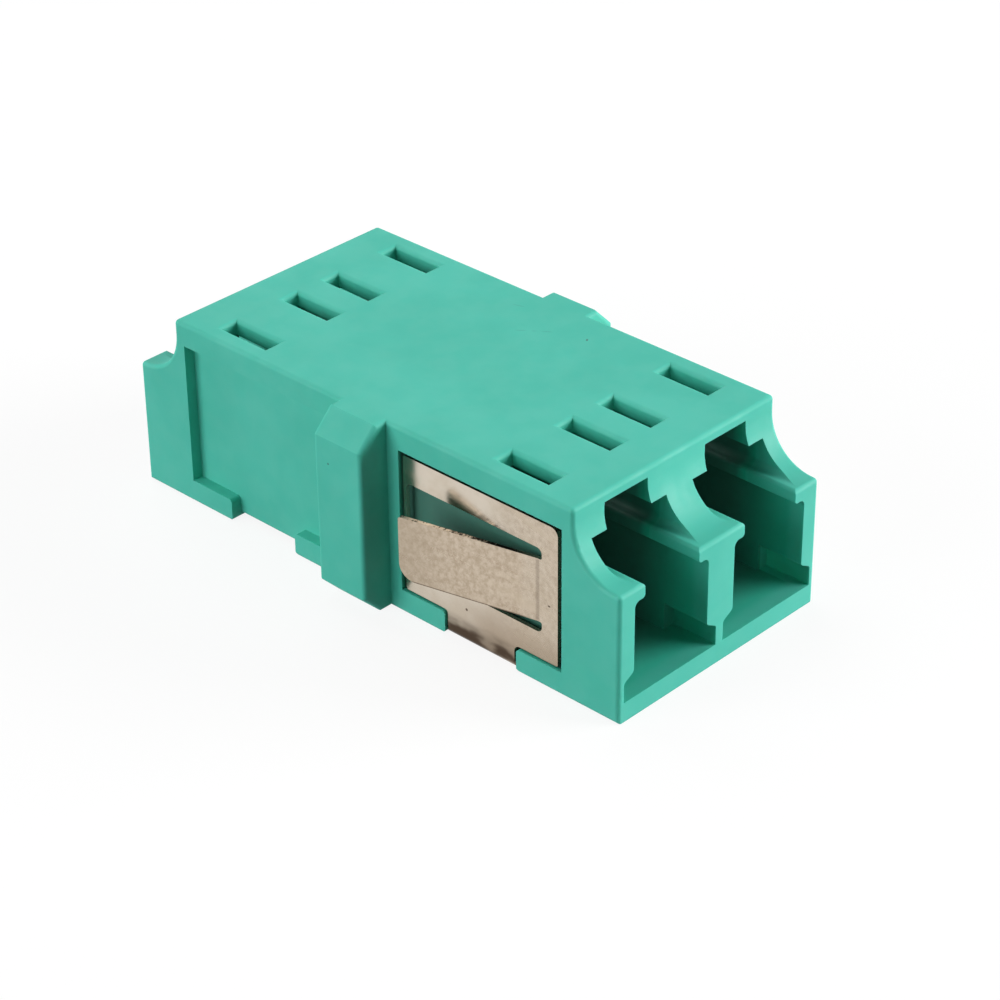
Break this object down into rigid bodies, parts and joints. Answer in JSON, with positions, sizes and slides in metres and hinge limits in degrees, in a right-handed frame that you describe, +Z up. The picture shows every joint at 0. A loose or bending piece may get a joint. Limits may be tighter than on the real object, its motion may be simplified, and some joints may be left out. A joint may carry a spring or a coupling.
{
  "type": "duplex fibre coupler",
  "caption": "Side-by-side duplex coupler for small latching fibre plugs, with a moulded housing, alignment sleeves and a snap-in panel clip.",
  "frame": {"origin": "middle of the flat underside, halfway along and halfway across", "axes": "+Y along the fibres towards the end without the spring clip, +X across the two ports, +Z up towards the latch side"},
  "size_m": [0.0158, 0.029, 0.0093],
  "materials": {
    "housing_plastic": "moulded aqua green, fine satin",
    "spring_steel": "warm bright sheet, lightly brushed",
    "holder_plastic": "moulded aqua green, fine satin",
    "sleeve_ceramic": "white ground ceramic"
  },
  "bodies": {
    "root": {"housing": "housing_plastic", "panel_clip": "spring_steel", "near_left_sleeve_holder": "holder_plastic", "near_right_sleeve_holder": "holder_plastic", "far_left_sleeve_holder": "holder_plastic", "far_right_sleeve_holder": "holder_plastic", "left_split_sleeve": "sleeve_ceramic", "right_split_sleeve": "sleeve_ceramic"}
  },
  "joints": []
}
